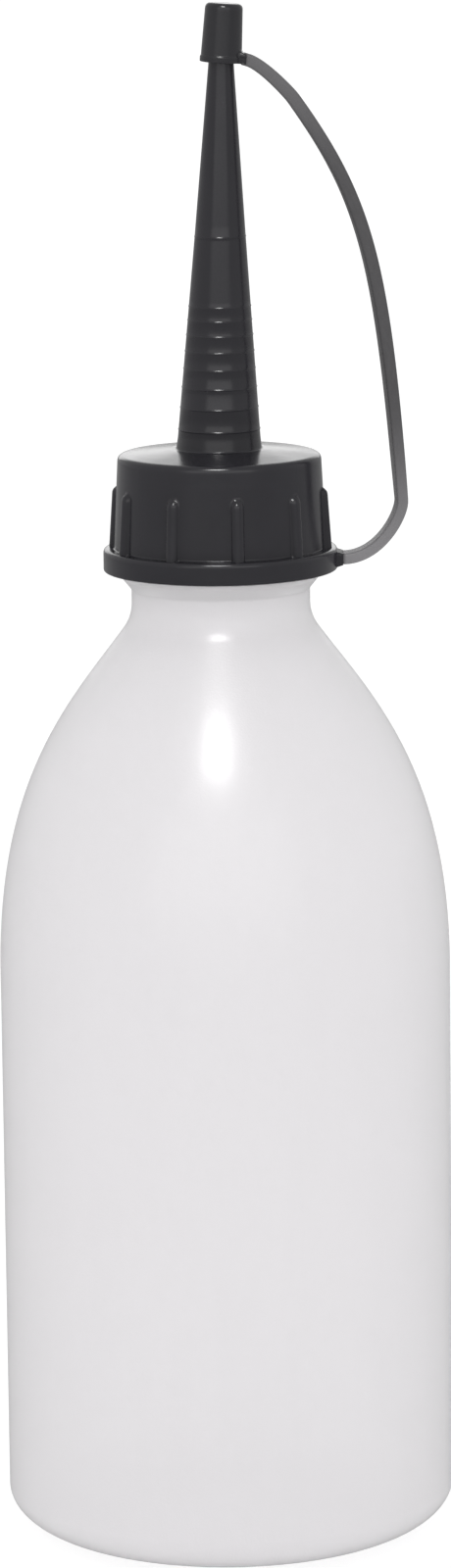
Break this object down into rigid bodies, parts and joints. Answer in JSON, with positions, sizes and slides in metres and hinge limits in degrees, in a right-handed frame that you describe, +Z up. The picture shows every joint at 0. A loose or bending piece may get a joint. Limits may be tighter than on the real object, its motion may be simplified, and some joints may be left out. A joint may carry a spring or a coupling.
{
  "type": "plastic oiler",
  "caption": "Squeeze oiler: milky blown plastic bottle with a ribbed black screw cap, a long tapered spout and a small tip cap held by a strap.",
  "frame": {"origin": "centre of the foot, on the surface that the bottle stands on", "axes": "+Z up along the bottle's axis; +X towards the strap; -Y is the front in the picture"},
  "size_m": [0.075, 0.075, 0.2556],
  "materials": {
    "milky_ldpe": "milky translucent low-density polyethylene, satin",
    "washer_foam": "pale expanded polyethylene, matte",
    "black_gloss": "black moulded polyethylene, glossy",
    "black_strap": "black flexible polyethylene, semi-matte"
  },
  "bodies": {
    "bottle": {"bottle": "milky_ldpe"},
    "washer": {"sealing_washer": "washer_foam"},
    "screw_cap": {"screw_cap": "black_gloss", "tether_strap": "black_strap"},
    "tip_cap": {"tip_cap": "black_gloss"}
  },
  "joints": [
    {"name": "cap_rise", "type": "slide", "parent": "bottle", "child": "washer", "axis": [0, 0, 1], "range_m": [0, 0.0071]},
    {"name": "cap_turn", "type": "hinge", "parent": "washer", "child": "screw_cap", "pos_m": [0, 0, 0.17], "axis": [0, 0, 1], "range_deg": [0, 630]},
    {"name": "tip_cap_pull", "type": "slide", "parent": "screw_cap", "child": "tip_cap", "axis": [0.0166, 0, 0.9999], "range_m": [0, 0.01], "deforming": ["tether_strap"]}
  ],
  "couplings": [
    {"joint": "cap_rise", "follows": "cap_turn", "m_per_rad": 0.00063662}
  ]
}
